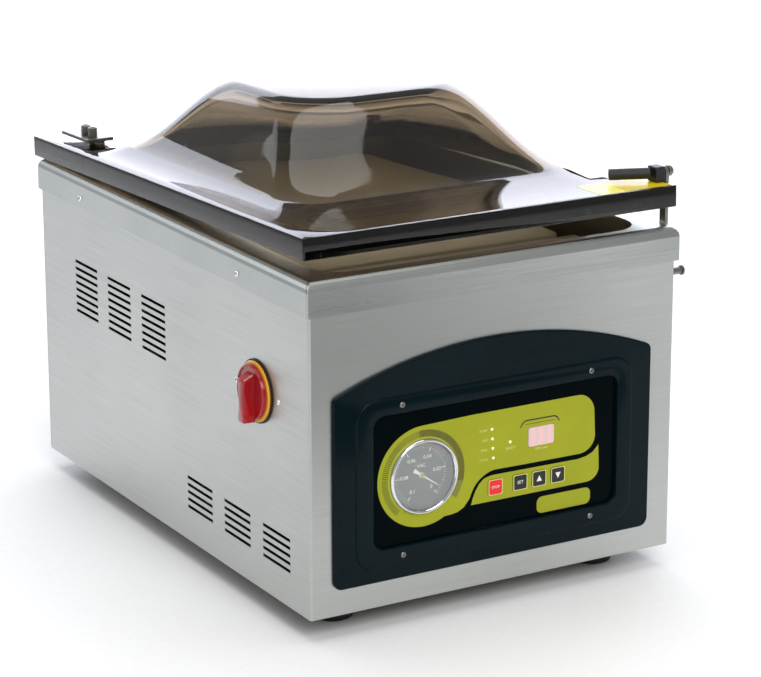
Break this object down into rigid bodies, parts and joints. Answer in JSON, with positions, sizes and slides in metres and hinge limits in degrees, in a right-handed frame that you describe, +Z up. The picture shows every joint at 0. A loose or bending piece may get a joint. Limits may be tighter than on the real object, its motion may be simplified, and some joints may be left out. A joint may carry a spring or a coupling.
{
  "type": "chamber vacuum sealer",
  "caption": "Countertop chamber vacuum sealer: steel cabinet, sunk chamber with seal bar and boards, hinged domed smoked lid, gauge and key panel, rotary main switch.",
  "frame": {"origin": "centre of the object's box on the ground, under the feet", "axes": "+X to the object's right, +Y from the control panel towards the hinges, +Z up"},
  "size_m": [0.3786, 0.5352, 0.4022],
  "materials": {
    "cabinet_steel": "brushed stainless steel, fine horizontal grain",
    "plated_steel": "zinc plated steel, satin",
    "chrome_trim": "polished chrome",
    "aluminium": "extruded aluminium, satin",
    "casting": "dark grey painted casting",
    "rubber": "matt black rubber",
    "black_moulding": "black moulded plastic",
    "bezel_moulding": "gloss blue-black moulded ABS",
    "overlay_film": "olive green printed polycarbonate film",
    "display_filter": "pinkish grey display filter",
    "circuit": "green circuit board",
    "red_key": "red key",
    "black_key": "black key",
    "white_enamel": "white enamel",
    "clear_glass": "clear glass",
    "yellow_plate": "yellow moulded plastic",
    "red_knob": "red moulded plastic",
    "release_tape": "cream coated glass cloth tape",
    "white_board": "white polyethylene",
    "red_silicone": "red silicone",
    "smoked_acrylic": "smoked olive-brown acrylic, polished"
  },
  "bodies": {
    "cabinet": {"cabinet_shell": "cabinet_steel", "base_pan": "plated_steel", "rear_panel": "cabinet_steel", "deck_frame": "cabinet_steel", "vacuum_chamber": "cabinet_steel", "vacuum_port_cover": "white_board", "foot_front_left": "rubber", "foot_front_right": "rubber", "foot_rear_left": "rubber", "foot_rear_right": "rubber", "control_bezel": "bezel_moulding", "panel_overlay": "overlay_film", "display_window": "display_filter", "circuit_board": "circuit", "gauge_case": "black_moulding", "gauge_dial": "black_moulding", "gauge_ring": "chrome_trim", "gauge_glass": "clear_glass", "switch_gasket": "rubber", "switch_plate": "yellow_plate", "switch_body": "black_moulding", "power_inlet": "black_moulding", "vacuum_pump": "casting", "pump_motor": "casting", "suction_hose": "rubber", "exhaust_filter": "black_moulding", "solenoid_valve": "black_moulding", "transformer": "casting", "fan_frame": "black_moulding", "seal_cylinder_left": "aluminium", "seal_cylinder_right": "aluminium", "hinge_bracket_left": "plated_steel", "hinge_bracket_right": "plated_steel", "hinge_pin_left": "plated_steel", "hinge_pin_right": "plated_steel", "keeper_stud": "plated_steel"},
    "lid": {"lid_dome": "smoked_acrylic", "lid_gasket": "rubber", "seal_pad": "red_silicone", "hinge_plate_left": "plated_steel", "hinge_plate_right": "plated_steel", "hinge_arm_left": "plated_steel", "hinge_arm_right": "plated_steel", "latch_saddle": "black_moulding", "latch_bolt": "plated_steel", "latch_handle": "rubber"},
    "latch": {"latch_arm": "plated_steel"},
    "needle": {"gauge_needle": "white_enamel"},
    "stop_key": {"stop_button": "red_key"},
    "set_key": {"set_button": "black_key"},
    "up_key": {"up_button": "black_key"},
    "down_key": {"down_button": "black_key"},
    "main_switch": {"switch_knob": "red_knob"},
    "fan": {"fan_rotor": "black_moulding"},
    "sealer": {"seal_bar": "aluminium", "seal_tape": "release_tape"},
    "boards": {"filler_board_lower": "white_board", "filler_board_upper": "white_board"}
  },
  "joints": [
    {"name": "lid_hinge", "type": "hinge", "parent": "cabinet", "child": "lid", "pos_m": [0.00145, 0.2624, 0.299], "axis": [-1, 0, 0], "range_deg": [-1.7, 46], "stiffness_Nm_per_rad": 7, "springref_deg": 68.75},
    {"name": "latch_swing", "type": "hinge", "parent": "lid", "child": "latch", "pos_m": [0.18175, -0.238, 0.34283], "axis": [1, 0, 0], "range_deg": [-15, 100]},
    {"name": "gauge_needle_turn", "type": "hinge", "parent": "cabinet", "child": "needle", "pos_m": [-0.06955, -0.2611, 0.125], "axis": [0, -1, 0], "range_deg": [0, 250], "stiffness_Nm_per_rad": 0.0005},
    {"name": "stop_press", "type": "slide", "parent": "cabinet", "child": "stop_key", "axis": [0, 1, 0], "range_m": [0, 0.0005], "stiffness_N_per_m": 800},
    {"name": "set_press", "type": "slide", "parent": "cabinet", "child": "set_key", "axis": [0, 1, 0], "range_m": [0, 0.0005], "stiffness_N_per_m": 800},
    {"name": "up_press", "type": "slide", "parent": "cabinet", "child": "up_key", "axis": [0, 1, 0], "range_m": [0, 0.0005], "stiffness_N_per_m": 800},
    {"name": "down_press", "type": "slide", "parent": "cabinet", "child": "down_key", "axis": [0, 1, 0], "range_m": [0, 0.0005], "stiffness_N_per_m": 800},
    {"name": "main_switch_turn", "type": "hinge", "parent": "cabinet", "child": "main_switch", "pos_m": [-0.17725, -0.1759, 0.19], "axis": [-1, 0, 0], "range_deg": [0, 90]},
    {"name": "fan_spin", "type": "hinge", "parent": "cabinet", "child": "fan", "pos_m": [-0.10855, 0.2199, 0.12], "axis": [0, 1, 0], "continuous": true},
    {"name": "seal_bar_lift", "type": "slide", "parent": "cabinet", "child": "sealer", "axis": [0, 0, 1], "range_m": [0, 0.01]},
    {"name": "board_lift", "type": "slide", "parent": "cabinet", "child": "boards", "axis": [0, 0, 1], "range_m": [0, 0.018]}
  ]
}
